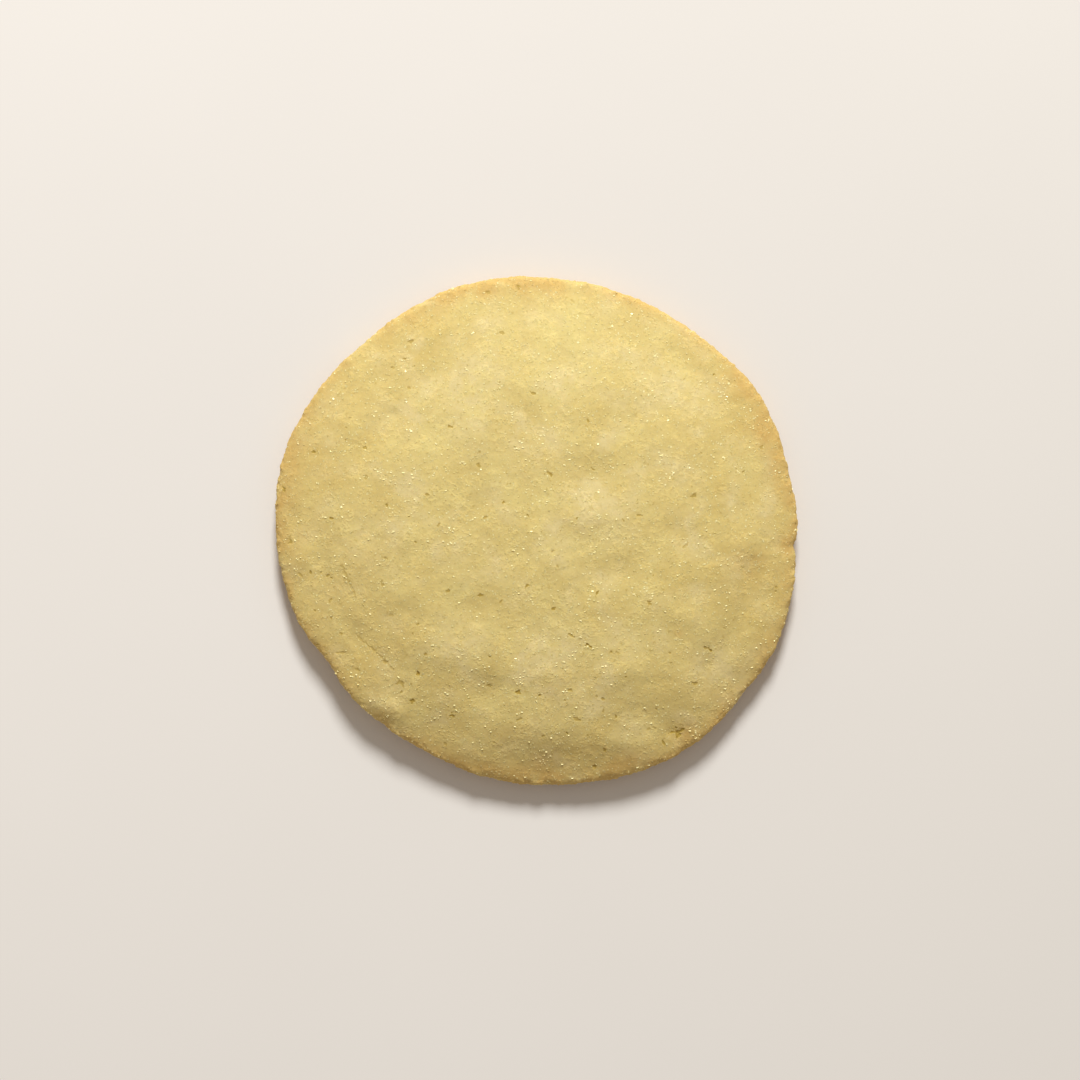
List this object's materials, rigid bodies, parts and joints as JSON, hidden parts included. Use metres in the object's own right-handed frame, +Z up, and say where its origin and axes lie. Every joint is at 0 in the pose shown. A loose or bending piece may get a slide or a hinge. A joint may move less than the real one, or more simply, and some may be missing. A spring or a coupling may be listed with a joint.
{
  "type": "sugar cookie",
  "caption": "Round, thin sugar cookie with a softly domed, pitted top, an uneven rounded rim and a flat underside; pale gold with a lightly browned edge.",
  "frame": {"origin": "middle of the cookie's bounding box in plan, on the plane of its flat underside", "axes": "+Z up out of the domed top, +Y towards the side with the gentle shoulder, +X to the right of it seen from above"},
  "size_m": [0.0764, 0.0744, 0.0082],
  "materials": {
    "baked_dough": "matte, fine sandy crumb"
  },
  "bodies": {
    "root": {"cookie": "baked_dough"}
  },
  "joints": []
}
